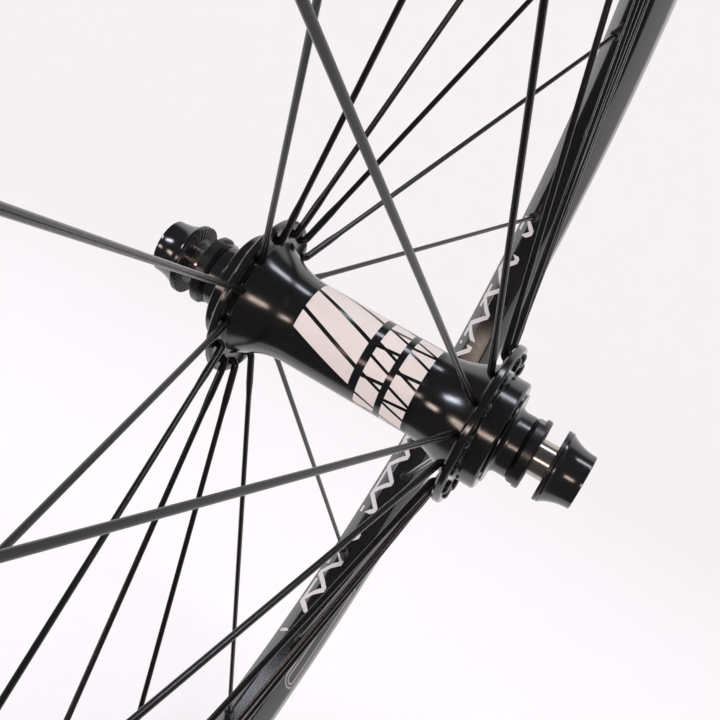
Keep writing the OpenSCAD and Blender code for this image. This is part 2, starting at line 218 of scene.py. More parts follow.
def cut_away(bm, cutters):
    """Cut the shapes of the cutters out of a blank."""
    made = []
    for name, shape in (("blank", bm), ("cutters", cutters)):
        mesh = bpy.data.meshes.new(name)
        shape.to_mesh(mesh)
        shape.free()
        made.append(bpy.data.objects.new(name, mesh))
        bpy.context.collection.objects.link(made[-1])
    boolean = made[0].modifiers.new("cut", "BOOLEAN")
    boolean.operation, boolean.solver, boolean.object = "DIFFERENCE", "EXACT", made[1]
    boolean.use_self = True
    evaluated = made[0].evaluated_get(bpy.context.evaluated_depsgraph_get())
    result = bmesh.new()
    result.from_mesh(evaluated.to_mesh())
    evaluated.to_mesh_clear()
    for helper in made:
        mesh = helper.data
        bpy.data.objects.remove(helper)
        bpy.data.meshes.remove(mesh)
    bmesh.ops.dissolve_degenerate(result, dist=1e-7, edges=result.edges)
    return result


def spoke_angles(side, count):
    """Angles of one side's spokes; the two sides stand a quarter step either way from the top."""
    step = 2 * math.pi / count
    return [-side * step / 4 + i * step for i in range(count)]


def spoke_line(sizes):
    """Lean of a spoke, and the end of its elbow as (place along the axle, radius), in metres."""
    elbow_y = sizes.flange_outer - sizes.flange_width + 0.2 * MM
    elbow_r = sizes.spoke_radius + 0.6 * MM
    lean = math.radians(9)
    for _ in range(4):
        end_y = elbow_y - elbow_r * math.cos(lean)
        end_r = sizes.hole_circle + elbow_r * (1 - math.sin(lean))
        lean = math.atan2(end_y - sizes.rim_offset, sizes.rim_bed - end_r)
    return lean, elbow_y, elbow_r, end_y, end_r


def in_line_with_spoke(bm, sizes):
    """Move a shape drawn along +Z to the top spoke of the right side."""
    lean, _, _, end_y, end_r = spoke_line(sizes)
    bmesh.ops.rotate(bm, verts=bm.verts, cent=(0, 0, 0), matrix=Matrix.Rotation(lean, 3, "X"))
    bmesh.ops.translate(bm, verts=bm.verts, vec=(0, end_y, end_r))


def piece(name, bm, body, material, slot, *nodes, smooth=32):
    """Finish a shape as a piece that rides on a body and stands for CAD nodes."""
    mesh = bpy.data.meshes.new(name)
    bm.to_mesh(mesh)
    bm.free()
    mesh.polygons.foreach_set("use_smooth", [True] * len(mesh.polygons))
    mesh.set_sharp_from_angle(angle=math.radians(smooth))
    mesh.materials.append(material)
    new = bpy.data.objects.new(name, mesh)
    bpy.context.collection.objects.link(new)
    weighted = new.modifiers.new("weighted_normals", "WEIGHTED_NORMAL")
    weighted.keep_sharp = True
    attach(new, body)
    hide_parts(*nodes)
    return new


# ---------------------------------------------------------------- materials

def add(tree, kind, inputs=None, **settings):
    """Add a node, set it, and give its inputs values or links."""
    new = tree.nodes.new("ShaderNode" + kind)
    for name, value in settings.items():
        setattr(new, name, value)
    for socket, value in (inputs or {}).items():
        if isinstance(value, bpy.types.NodeSocket):
            tree.links.new(value, new.inputs[socket])
        else:
            new.inputs[socket].default_value = value
    return new


def math_of(tree, operation, *values):
    """Result of a calculation on numbers or sockets."""
    return add(tree, "Math", dict(enumerate(values)), operation=operation).outputs[0]


def near(tree, value, centre, reach):
    """A mask: one where a value is within reach of a centre."""
    return math_of(tree, "COMPARE", value, centre, reach)


def either(tree, *masks):
    """A mask: one where any of the masks is one."""
    whole = masks[0]
    for mask in masks[1:]:
        whole = math_of(tree, "MAXIMUM", whole, mask)
    return whole


def both(tree, *masks):
    """A mask: one where all of the masks are one."""
    whole = masks[0]
    for mask in masks[1:]:
        whole = math_of(tree, "MULTIPLY", whole, mask)
    return whole


def repeated(tree, value, low, period):
    """Wrap a value into a period that starts at its low end."""
    return math_of(tree, "WRAP", value, low + period, low)


def blend(tree, factor, first, second):
    """Mix two colours by a factor."""
    return add(tree, "Mix", {0: factor, 6: first, 7: second}, data_type="RGBA").outputs[2]


def start(name):
    """A new material: its tree, its shader and the piece's own coordinates in millimetres."""
    material = bpy.data.materials.new(name)
    material.use_nodes = True
    tree = material.node_tree
    coordinates = add(tree, "TexCoord").outputs["Object"]
    in_mm = add(tree, "VectorMath", {0: coordinates, "Scale": 1000.0}, operation="SCALE").outputs[0]
    return material, tree, tree.nodes["Principled BSDF"], in_mm


def round_places(tree, in_mm):
    """Radius, place along the axle, and turn about it in degrees from +X towards +Z."""
    axes = add(tree, "SeparateXYZ", {0: in_mm}).outputs
    flat = add(tree, "CombineXYZ", {"X": axes["X"], "Z": axes["Z"]}).outputs[0]
    radius = add(tree, "VectorMath", {0: flat}, operation="LENGTH").outputs["Value"]
    turn = math_of(tree, "DEGREES", math_of(tree, "ARCTAN2", axes["Z"], axes["X"]))
    return radius, axes["Y"], turn


def lathe_marks(tree, in_mm, pitch=0.12):
    """Fine rings that a lathe leaves, a pitch apart in millimetres."""
    radius, along, turn = round_places(tree, in_mm)
    slow = math_of(tree, "MULTIPLY", turn, 0.002)
    rings = add(tree, "CombineXYZ", {"X": radius, "Y": along, "Z": slow}).outputs[0]
    return add(tree, "TexNoise", {"Vector": rings, "Scale": 1 / pitch, "Detail": 2.0}).outputs[0]


def clouds(tree, in_mm, size):
    """Slow uneven patches of handling and cleaning, a size across in millimetres."""
    return add(tree, "TexNoise", {"Vector": in_mm, "Scale": 1 / size, "Detail": 4.0,
                                  "Roughness": 0.6}).outputs[0]


def between(tree, pattern, low, high):
    """Stretch a noise pattern's usual range to run between two values."""
    return add(tree, "MapRange", {"Value": pattern, "From Min": 0.3, "From Max": 0.7,
                                  "To Min": low, "To Max": high}).outputs[0]


def roughen(tree, shader, pattern, low, high):
    """Vary the shader's roughness with a pattern, between two values."""
    tree.links.new(between(tree, pattern, low, high), shader.inputs["Roughness"])


def roughen_print(tree, shader, pattern, low, high, printed, print_rough):
    """Vary the roughness of a glossy finish, and give what is printed on it its own."""
    glossy = between(tree, pattern, low, high)
    rough = add(tree, "Mix", {0: printed, 2: glossy, 3: print_rough}, data_type="FLOAT").outputs[0]
    tree.links.new(rough, shader.inputs["Roughness"])


def bumped(tree, shader, height, depth_mm, strength=1.0):
    """Raise the surface by a pattern, to a depth in millimetres."""
    bump = add(tree, "Bump", {"Height": height, "Distance": depth_mm * MM, "Strength": strength})
    tree.links.new(bump.outputs[0], shader.inputs["Normal"])


def dusted(tree, in_mm, base, dust, most=0.05):
    """A base colour with sparse pale dust specks about 0.15 mm across."""
    specks = add(tree, "TexNoise", {"Vector": in_mm, "Scale": 1 / 0.3, "Detail": 1.0}).outputs[0]
    few = add(tree, "MapRange", {"Value": specks, "From Min": 0.74, "From Max": 0.84,
                                 "To Min": 0.0, "To Max": most}).outputs[0]
    return blend(tree, few, base, dust)


def slanted_stripes(tree, along, turn):
    """A mask of broad stripes that wind round the barrel's left half, on one side of it."""
    slope, period, half_stripe = 1.68, 36.0, 15.2
    start_y, middle_y, half_length = 18.1, -8.55, 9.55
    wound = math_of(tree, "MULTIPLY_ADD", math_of(tree, "ADD", along, start_y), slope, turn)
    wound = repeated(tree, wound, -100.0, 360.0)
    stripe = near(tree, repeated(tree, wound, 17.0, period), 17.0 + period / 2, half_stripe)
    return both(tree, stripe, near(tree, wound, 74.0, 84.0), near(tree, along, middle_y, half_length))


def block_rows(tree, along, turn):
    """A mask of two rows of blocks, parted by thin slots that slant one way and then the other."""
    rows = []
    for centre, half_width, seed in ((6.3, 3.0, 3.0), (14.3, 3.2, 11.0)):
        slots = []
        for slant, period, half_slot, shift in ((1.6, 25.0, 2.0, seed), (-0.5, 43.0, 2.2, seed * 2.0)):
            placed = math_of(tree, "MULTIPLY_ADD", along, slant, math_of(tree, "ADD", turn, shift))
            cell = math_of(tree, "FLOOR", math_of(tree, "DIVIDE", placed, period))
            chance = add(tree, "TexWhiteNoise", {"W": math_of(tree, "ADD", cell, seed)},
                         noise_dimensions="1D").outputs["Value"]
            middle = math_of(tree, "MULTIPLY_ADD", chance, period * 0.3, period * 0.35)
            slots.append(near(tree, repeated(tree, placed, 0.0, period), middle, half_slot))
        row = math_of(tree, "SUBTRACT", near(tree, along, centre, half_width), either(tree, *slots))
        rows.append(math_of(tree, "MAXIMUM", row, 0.0))
    return both(tree, either(tree, *rows), near(tree, repeated(tree, turn, -80.0, 180.0), -2.0, 78.0))


def hub_anodising(colours):
    """Gloss black anodised aluminium, turned and polished, with its graphics etched to bare metal.

    The anodising is nearly a mirror, with faint rings; the etching is pale, soft and even.
    """
    material, tree, shader, in_mm = start("anodised_aluminium_black_etched")
    radius, along, turn = round_places(tree, in_mm)
    aimed = math_of(tree, "SUBTRACT", turn, 8.25)
    printed = either(tree, slanted_stripes(tree, along, aimed), block_rows(tree, along, aimed))
    etched = both(tree, printed, math_of(tree, "GREATER_THAN", radius, 11.0))
    rings = lathe_marks(tree, in_mm)
    patches = clouds(tree, in_mm, 9.0)
    black = dusted(tree, in_mm, tuple(colours.hub_black), linear("#6c686e"), 0.02)
    silver = blend(tree, patches, tuple(colours.etched), linear("#d9cdc7"))
    tree.links.new(blend(tree, etched, black, silver), shader.inputs["Base Color"])
    roughen_print(tree, shader, patches, 0.13, 0.20, etched, 0.52)
    height = math_of(tree, "MULTIPLY_ADD", etched, -6.0, rings)
    bumped(tree, shader, height, 0.001, 0.35)
    shader.inputs["IOR"].default_value = 1.77
    return material


def turned_black(name, base, rough, ior, depth):
    """Black-finished turned metal: soft broad gloss, faint rings and rubbed patches."""
    material, tree, shader, in_mm = start(name)
    rings = lathe_marks(tree, in_mm, 0.15)
    patches = clouds(tree, in_mm, 5.0)
    colour = blend(tree, math_of(tree, "MULTIPLY", patches, 0.15), base, linear("#242125"))
    tree.links.new(dusted(tree, in_mm, colour, linear("#6e6a70"), 0.03), shader.inputs["Base Color"])
    roughen(tree, shader, patches, rough[0], rough[1])
    bumped(tree, shader, rings, depth, 0.2)
    shader.inputs["IOR"].default_value = ior
    return material


def polished_steel(colours):
    """Polished steel: bright, with fine turning rings and slight brown staining."""
    material, tree, shader, in_mm = start("polished_steel")
    rings = lathe_marks(tree, in_mm, 0.10)
    stain = clouds(tree, in_mm, 3.0)
    tree.links.new(blend(tree, stain, tuple(colours.steel), linear("#a89c92")),
                   shader.inputs["Base Color"])
    roughen(tree, shader, stain, 0.14, 0.26)
    bumped(tree, shader, rings, 0.004, 0.8)
    shader.inputs["Metallic"].default_value = 1.0
    return material


def spoke_coating(colours):
    """Black-coated steel wire: semi-gloss, drawn lengthwise, slightly brown in the light."""
    material, tree, shader, in_mm = start("black_coated_steel_wire")
    radius, along, turn = round_places(tree, in_mm)
    drawn = add(tree, "CombineXYZ", {"X": math_of(tree, "MULTIPLY", radius, 0.02),
                                     "Y": along, "Z": turn}).outputs[0]
    streaks = add(tree, "TexNoise", {"Vector": drawn, "Scale": 6.0, "Detail": 3.0}).outputs[0]
    worn = blend(tree, streaks, tuple(colours.spoke_black), linear("#171213"))
    tree.links.new(dusted(tree, in_mm, worn, linear("#6a6266"), 0.04), shader.inputs["Base Color"])
    roughen(tree, shader, streaks, 0.17, 0.28)
    bumped(tree, shader, streaks, 0.001, 0.3)
    shader.inputs["IOR"].default_value = 1.5
    return material


def zigzag_patches(tree, radius, along, run):
    """A mask of patches of bold zigzag with short bars on top, on the bed's left half and flank."""
    across = math_of(tree, "MULTIPLY_ADD", along, -1.3, -6.0)
    swing = math_of(tree, "SUBTRACT", math_of(tree, "PINGPONG", run, 7.0), 3.5)
    zigzag = near(tree, math_of(tree, "MULTIPLY", swing, 1.2), across, 1.7)
    bar = both(tree, near(tree, across, 3.6, 0.7),
               math_of(tree, "LESS_THAN", repeated(tree, run, 0.0, 19.0), 11.0))
    patch = math_of(tree, "LESS_THAN", repeated(tree, run, 0.0, 52.0), 43.0)
    return both(tree, either(tree, zigzag, bar), patch, near(tree, across, 0.0, 4.6),
                math_of(tree, "LESS_THAN", radius, 199.6))


def double_loops(tree, radius, along, run):
    """A mask of long loops in a double outline, one after another on the right flank."""
    rise = math_of(tree, "MULTIPLY", math_of(tree, "SUBTRACT", radius, 196.6), 1.25)
    place = repeated(tree, math_of(tree, "ADD", run, 12.0), -33.0, 66.0)
    past = math_of(tree, "SUBTRACT", math_of(tree, "ABSOLUTE", place), 22.0)
    past = math_of(tree, "MAXIMUM", past, 0.0)
    corner = add(tree, "CombineXYZ", {"X": past, "Y": rise}).outputs[0]
    away = add(tree, "VectorMath", {0: corner}, operation="LENGTH").outputs["Value"]
    lines = either(tree, near(tree, away, 3.7, 0.35), near(tree, away, 2.1, 0.35))
    return both(tree, lines, math_of(tree, "GREATER_THAN", along, 4.9))


def rim_anodising(colours):
    """Gloss black anodised extrusion with pale lines printed on its bed and flanks.

    The extrusion is drawn along its length, so its faint marks run round the wheel.
    """
    material, tree, shader, in_mm = start("anodised_aluminium_black_printed")
    radius, along, turn = round_places(tree, in_mm)
    run = math_of(tree, "MULTIPLY", turn, 3.43)
    # Each is printed on two stretches, half a turn apart, with plain black between them.
    half_turn = repeated(tree, turn, -30.0, 180.0)
    bold = both(tree, zigzag_patches(tree, radius, along, run), near(tree, half_turn, 13.0, 31.0))
    loops = both(tree, double_loops(tree, radius, along, run), near(tree, half_turn, 42.0, 10.0))
    printed = either(tree, bold, math_of(tree, "MULTIPLY", loops, 0.5))
    drawn = add(tree, "CombineXYZ", {"X": radius, "Y": along,
                                     "Z": math_of(tree, "MULTIPLY", turn, 0.02)}).outputs[0]
    marks = add(tree, "TexNoise", {"Vector": drawn, "Scale": 5.0, "Detail": 3.0}).outputs[0]
    patches = clouds(tree, in_mm, 18.0)
    black = dusted(tree, in_mm, tuple(colours.rim_black), linear("#736e74"), 0.10)
    ink = blend(tree, patches, tuple(colours.rim_lines), linear("#bdb6b8"))
    tree.links.new(blend(tree, printed, black, ink), shader.inputs["Base Color"])
    roughen_print(tree, shader, patches, 0.16, 0.26, printed, 0.45)
    bumped(tree, shader, marks, 0.006, 0.5)
    shader.inputs["IOR"].default_value = 1.77
    return material


def bare_metal(name, base, tint, rough, pitch):
    """Bare turned metal: bright with fine rings and a slight change of tone."""
    material, tree, shader, in_mm = start(name)
    rings = lathe_marks(tree, in_mm, pitch)
    patches = clouds(tree, in_mm, 4.0)
    tree.links.new(blend(tree, patches, linear(base), linear(tint)), shader.inputs["Base Color"])
    roughen(tree, shader, patches, rough[0], rough[1])
    bumped(tree, shader, rings, 0.005, 0.6)
    shader.inputs["Metallic"].default_value = 1.0
    return material


def seal_rubber():
    """Moulded nitrile rubber: matt near-black with a fine tooth and a little grease."""
    material, tree, shader, in_mm = start("moulded_nitrile_rubber")
    tooth = add(tree, "TexNoise", {"Vector": in_mm, "Scale": 1 / 0.2, "Detail": 3.0}).outputs[0]
    patches = clouds(tree, in_mm, 3.0)
    tree.links.new(blend(tree, patches, linear("#141314"), linear("#242123")),
                   shader.inputs["Base Color"])
    roughen(tree, shader, patches, 0.45, 0.75)
    bumped(tree, shader, tooth, 0.01, 0.6)
    shader.inputs["IOR"].default_value = 1.52
    return material


# ---------------------------------------------------------------- pieces

class WheelStep:
    """What every step of the wheel's making shares."""
    bl_options = {"REGISTER", "UNDO"}

    def parts(self, context):
        return context.scene.wheel_sizes, context.scene.wheel_colours


class WHEEL_OT_hub_body(WheelStep, bpy.types.Operator):
    """Turn the hub's barrel, flanges and bearing bosses in one, and drill its spoke holes"""
    bl_idname = "wheel.hub_body"
    bl_label = "Hub Body"

    def execute(self, context):
        sizes, colours = self.parts(context)
        flange_in = (sizes.flange_outer - sizes.flange_width) / MM
        flange_out = sizes.flange_outer / MM
        flange_r, boss_r = sizes.flange_radius / MM, sizes.boss_radius / MM
        barrel, root = sizes.barrel_radius / MM, sizes.barrel_root / MM
        straight, end = sizes.barrel_straight / MM / 2, sizes.boss_end / MM
        bearing_r, bearing_y = sizes.bearing_radius / MM, sizes.bearing_place / MM
        bore, flare_steps = sizes.barrel_bore / MM, 18
        shares = [i / flare_steps for i in range(flare_steps + 1)]
        flare = [(barrel + (root - barrel) * share ** 2, straight + (flange_in - straight) * share)
                 for share in shares]
        half = flare + [
            (root + 0.25, flange_in), (flange_r - 0.55, flange_in), (flange_r, flange_in + 0.5),
            (flange_r, flange_out - 0.55), (flange_r - 0.5, flange_out),
            (boss_r + 0.55, flange_out), (boss_r + 0.2, flange_out + 0.15), (boss_r, flange_out + 0.55),
            (boss_r, end - 0.5), (boss_r - 0.5, end), (bearing_r + 0.6, end), (bearing_r, end - 0.5),
            (bearing_r, bearing_y), (bore, bearing_y),
        ]
        bm = turned(mirrored(half), 128)
        soften(bm, 0.12, 24)
        hole_r = sizes.spoke_radius / MM + 0.25
        outline = [(0, flange_in - 0.3), (hole_r + 0.5, flange_in - 0.3), (hole_r, flange_in + 0.25),
                   (hole_r, flange_out - 0.25), (hole_r + 0.55, flange_out + 0.3), (0, flange_out + 0.3)]
        holes = []
        for _, side in SIDES:
            hole = turned(outline, 20, closed=False)
            bmesh.ops.translate(hole, verts=hole.verts, vec=(0, 0, sizes.hole_circle))
            round_the_axle(hole, spoke_angles(side, sizes.spokes_per_side))
            on_side(hole, side)
            holes.append(hole)
        bm = cut_away(bm, join(*holes))
        piece("hub_body", bm, "wheel", hub_anodising(colours), "hub_black", "hub_shell")
        return {"FINISHED"}


class WHEEL_OT_end_caps(WheelStep, bpy.types.Operator):
    """Turn the two end caps, each with a thin dust flange over its bearing"""
    bl_idname = "wheel.end_caps"
    bl_label = "End Caps"

    def execute(self, context):
        sizes, colours = self.parts(context)
        black = turned_black("anodised_aluminium_black_turned", tuple(colours.bolt_black),
                             (0.14, 0.24), 1.77, 0.002)
        boss, cap_r = sizes.boss_end / MM, sizes.cap_radius / MM
        locknut = (sizes.hub_half - sizes.locknut_width) / MM
        bore, flange = sizes.axle_radius / MM + FIT, top_of("end_cap_right")[0] / MM
        sleeve, fillet = cap_r + 0.15, 1.8
        outline = [(bore, boss - 0.3), (sleeve, boss - 0.3), (sleeve, boss + 0.3),
                   (flange - 0.12, boss + 0.3), (flange, boss + 0.42), (flange, boss + 0.68),
                   (flange - 0.12, boss + 0.8)]
        outline += arc((cap_r + fillet, boss + 0.8 + fillet), fillet, -90, -180, 8)
        outline += [(cap_r, locknut - 0.3), (cap_r - 0.25, locknut - FIT), (bore, locknut - FIT)]
        for side_name, side in SIDES:
            bm = turned(outline, 112)
            on_side(bm, side)
            piece("end_cap_" + side_name + "_turned", bm, "axle_assembly", black, "end_cap_black",
                  "end_cap_" + side_name)
        return {"FINISHED"}


def radial_teeth(place, inner, outer, count=36, depth=0.28):
    """V-shaped cutters for the radial teeth of a gripping face, each a cube stood on its edge."""
    teeth = bmesh.new()
    verts = bmesh.ops.create_cube(teeth, size=1)["verts"]
    across = 2 * math.pi * inner / count * 0.62
    shape = Vector((across / math.sqrt(2), depth * math.sqrt(2), outer - inner)) * MM
    bmesh.ops.rotate(teeth, verts=verts, cent=(0, 0, 0), matrix=Matrix.Rotation(math.pi / 4, 3, "Z"))
    bmesh.ops.scale(teeth, verts=verts, vec=shape)
    bmesh.ops.translate(teeth, verts=verts, vec=(0, place * MM, (inner + outer) / 2 * MM))
    round_the_axle(teeth, [2 * math.pi * i / count for i in range(count)])
    return teeth


class WHEEL_OT_locknuts(WheelStep, bpy.types.Operator):
    """Turn the two locknuts, mill their wrench flats and cut their gripping teeth"""
    bl_idname = "wheel.locknuts"
    bl_label = "Locknuts"

    def execute(self, context):
        sizes, colours = self.parts(context)
        black = turned_black("black_oxide_steel", tuple(colours.bolt_black), (0.24, 0.36), 1.6, 0.003)
        radius, face = sizes.locknut_radius / MM, sizes.hub_half / MM
        bore, back = sizes.axle_radius / MM + FIT, face - sizes.locknut_width / MM
        flat_depth, flat_width, cutter = 1.1, 2.4, 4
        outline = [(bore, back), (radius - 0.9, back), (radius, back + 0.9), (radius, face - 0.4),
                   (radius - 0.35, face), (bore, face)]
        for side_name, side in SIDES:
            flats = bmesh.new()
            for turn in (math.pi / 2, -math.pi / 2):
                flat = bmesh.ops.create_cube(flats, size=1)["verts"]
                bmesh.ops.scale(flats, verts=flat, vec=(cutter * MM, flat_width * MM, 22 * MM))
                bmesh.ops.translate(flats, verts=flat, vec=((radius - flat_depth + cutter / 2) * MM,
                                                            (back + 1.0) * MM, 0))
                bmesh.ops.rotate(flats, verts=flat, cent=(0, 0, 0), matrix=Matrix.Rotation(turn, 3, "Y"))
            teeth = radial_teeth(face, 8.0, radius + 0.6)
            bm = cut_away(turned(outline, 96), join(flats, teeth))
            on_side(bm, side)
            piece("locknut_" + side_name + "_milled", bm, "axle_assembly", black, "locknut_black",
                  "locknut_" + side_name)
        return {"FINISHED"}


class WHEEL_OT_washers(WheelStep, bpy.types.Operator):
    """Turn the two washers and cut the teeth that grip the fork ends"""
    bl_idname = "wheel.washers"
    bl_label = "Serrated Washers"

    def execute(self, context):
        sizes, colours = self.parts(context)
        black = turned_black("black_oxide_steel_toothed", tuple(colours.bolt_black), (0.26, 0.38), 1.6,
                             0.003)
        low, high = (corner[1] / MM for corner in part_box("washer_right"))
        radius, bore = top_of("washer_right")[0] / MM, sizes.shank_radius / MM + 0.05
        outline = [(bore, low + 0.15), (bore + 0.15, low), (radius - 0.15, low), (radius, low + 0.15),
                   (radius, high - 0.12), (radius - 0.12, high), (bore, high)]
        for side_name, side in SIDES:
            bm = cut_away(turned(outline, 96), radial_teeth(low, 6.5, radius + 0.6))
            on_side(bm, side)
            piece("washer_" + side_name + "_toothed", bm, "washer_" + side_name, black, "washer_black",
                  "washer_" + side_name)
        return {"FINISHED"}


class WHEEL_OT_bolts(WheelStep, bpy.types.Operator):
    """Turn the two bolt heads with their hollow flanks and key sockets, and their bright shanks"""
    bl_idname = "wheel.bolts"
    bl_label = "Axle Bolts"

    def execute(self, context):
        sizes, colours = self.parts(context)
        black = turned_black("black_oxide_steel_polished", tuple(colours.bolt_black), (0.12, 0.20), 1.77,
                             0.002)
        steel = polished_steel(colours)
        base_r, tip_r, end = sizes.bolt_radius / MM, sizes.bolt_tip / MM, sizes.bolt_end / MM
        shank_r, bore = sizes.shank_radius / MM, sizes.shank_radius / MM + 0.03
        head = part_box("bolt_head_right")[0][1] / MM
        base_end, tip_start, dish = head + 0.85, end - 0.35, 4.0
        width, fall = tip_start - base_end, base_r - 0.35 - tip_r
        flank_r = (width ** 2 + fall ** 2) / (2 * fall)
        sweep = math.degrees(math.asin(width / flank_r))
        key_r, key_depth, cutter = sizes.key_width / math.sqrt(3), 4.2, 5
        low, high = (corner[1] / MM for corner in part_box("bolt_shank_right"))
        outline = [(bore, head), (base_r - 0.15, head), (base_r, head + 0.15),
                   (base_r, base_end - 0.35), (base_r - 0.1, base_end - 0.1)]
        outline += arc((tip_r + flank_r, tip_start), flank_r, 180 + sweep, 180, 14)
        outline += [(tip_r - 0.1, end - 0.1), (tip_r - 0.35, end), (dish + 0.3, end), (dish, end - 0.3),
                    (dish, end - 0.5), (0, end - 0.5), (0, high + FIT), (bore, high + FIT)]
        shank_outline = [(0, low), (shank_r - 1.1, low), (shank_r, low + 1), (shank_r, high), (0, high)]
        for side_name, side in SIDES:
            socket = bmesh.new()
            bmesh.ops.create_cone(socket, cap_ends=True, segments=6, radius1=key_r, radius2=key_r,
                                  depth=cutter * MM)
            bmesh.ops.rotate(socket, verts=socket.verts, cent=(0, 0, 0),
                             matrix=Matrix.Rotation(math.pi / 2, 3, "X"))
            bmesh.ops.translate(socket, verts=socket.verts, vec=(0, (end - key_depth + cutter / 2) * MM, 0))
            bm = cut_away(turned(outline, 96), socket)
            shank = turned(shank_outline, 64, closed=False)
            on_side(bm, side)
            on_side(shank, side)
            body = "bolt_" + side_name
            piece("bolt_head_" + side_name + "_turned", bm, body, black, "bolt_black",
                  "bolt_head_" + side_name)
            piece("bolt_shank_" + side_name + "_polished", shank, body, steel, "shank_steel",
                  "bolt_shank_" + side_name)
        return {"FINISHED"}


def pull_wire(bm, ring, ahead, stretches):
    """Draw a wire on from a ring of edges, by stretches of (length, growth of its thickness)."""
    for step, growth in stretches:
        pulled = bmesh.ops.extrude_edge_only(bm, edges=ring)["geom"]
        tip = [part for part in pulled if isinstance(part, bmesh.types.BMVert)]
        ring = [part for part in pulled if isinstance(part, bmesh.types.BMEdge) and part.is_boundary]
        bmesh.ops.translate(bm, verts=tip, vec=ahead * step)
        centre = sum((vert.co for vert in tip), Vector()) / len(tip)
        bmesh.ops.scale(bm, verts=tip, vec=(growth, growth, growth), space=Matrix.Translation(-centre))


class WHEEL_OT_spokes(WheelStep, bpy.types.Operator):
    """Form the J-bend spokes: a domed head, an elbow through the flange and a straight run"""
    bl_idname = "wheel.spokes"
    bl_label = "Spokes"

    def execute(self, context):
        sizes, colours = self.parts(context)
        coating = spoke_coating(colours)
        lean, elbow_y, elbow_r, _, end_r = spoke_line(sizes)
        radius, neck = sizes.spoke_radius / MM, sizes.flange_outer / MM + 0.05
        head = radius + 0.95
        outline = [(0, neck + 0.9), (head - 1.2, neck + 0.88), (head - 0.6, neck + 0.78),
                   (head - 0.15, neck + 0.52), (head, neck + 0.2), (head - 0.06, neck),
                   (radius, neck), (radius, elbow_y / MM)]
        # A butted wire: a thick end, a taper, the thin middle, a taper, and a thick threaded end.
        run = (top_of("nipples_right")[2] - 0.9 * MM - end_r) / math.cos(lean)
        butt, taper, thread = 9 * MM, 5 * MM, 14 * MM
        thin = sizes.spoke_middle / sizes.spoke_radius
        stretches = ((butt, 1), (taper, thin), (run - butt - 2 * taper - thread, 1), (taper, 1 / thin),
                     (thread, 1))
        for side_name, side in SIDES:
            bm = turned(outline, 16, closed=False)
            bmesh.ops.translate(bm, verts=bm.verts, vec=(0, 0, sizes.hole_circle))
            ring = [edge for edge in bm.edges if edge.is_boundary]
            bend = bmesh.ops.spin(bm, geom=ring, cent=(0, elbow_y, sizes.hole_circle + elbow_r),
                                  axis=(1, 0, 0), angle=lean - math.pi / 2, steps=7)
            ring = [edge for edge in bend["geom_last"] if isinstance(edge, bmesh.types.BMEdge)]
            pull_wire(bm, ring, Vector((0, -math.sin(lean), math.cos(lean))), stretches)
            bmesh.ops.holes_fill(bm, edges=[edge for edge in bm.edges if edge.is_boundary], sides=0)
            bmesh.ops.remove_doubles(bm, verts=bm.verts, dist=1e-7)
            bmesh.ops.recalc_face_normals(bm, faces=bm.faces)
            on_side(bm, side)
            round_the_axle(bm, spoke_angles(side, sizes.spokes_per_side))
            piece("spoke_set_" + side_name, bm, "wheel", coating, "spoke_black", "spokes_" + side_name,
                  smooth=50)
        return {"FINISHED"}


class WHEEL_OT_nipples(WheelStep, bpy.types.Operator):
    """Turn the spoke nipples and mill the four key flats of each"""
    bl_idname = "wheel.nipples"
    bl_label = "Nipples"

    def execute(self, context):
        sizes, colours = self.parts(context)
        black = turned_black("anodised_aluminium_black_satin", tuple(colours.nipple_black),
                             (0.30, 0.44), 1.77, 0.004)
        lean, _, _, _, end_r = spoke_line(sizes)
        seat = (sizes.rim_bed + 1.9 * MM - end_r) / math.cos(lean) / MM
        base = (sizes.rim_bed - end_r) / math.cos(lean) / MM - sizes.nipple_length / MM
        bore, radius, head = sizes.spoke_radius / MM + 0.05, sizes.nipple_radius / MM, sizes.nipple_head / MM
        flat_depth, cutter = 0.3, 2
        outline = [(bore, base), (radius - 0.25, base), (radius, base + 0.25), (radius, seat), (head, seat),
                   (head, seat + 1.4), (head - 0.4, seat + 1.9), (bore, seat + 1.9)]
        for side_name, side in SIDES:
            flats = bmesh.new()
            for turn in range(4):
                flat = bmesh.ops.create_cube(flats, size=1)["verts"]
                bmesh.ops.scale(flats, verts=flat, vec=(cutter * MM, 6 * MM, 6 * MM))
                bmesh.ops.translate(flats, verts=flat,
                                    vec=((radius - flat_depth + cutter / 2) * MM, 0, (base + 3) * MM))
                bmesh.ops.rotate(flats, verts=flat, cent=(0, 0, 0),
                                 matrix=Matrix.Rotation(turn * math.pi / 2, 3, "Z"))
            bm = cut_away(turned(outline, 24, axis=(0, 0, 1)), flats)
            in_line_with_spoke(bm, sizes)
            on_side(bm, side)
            round_the_axle(bm, spoke_angles(side, sizes.spokes_per_side))
            piece("nipple_set_" + side_name, bm, "wheel", black, "nipple_black", "nipples_" + side_name)
        return {"FINISHED"}


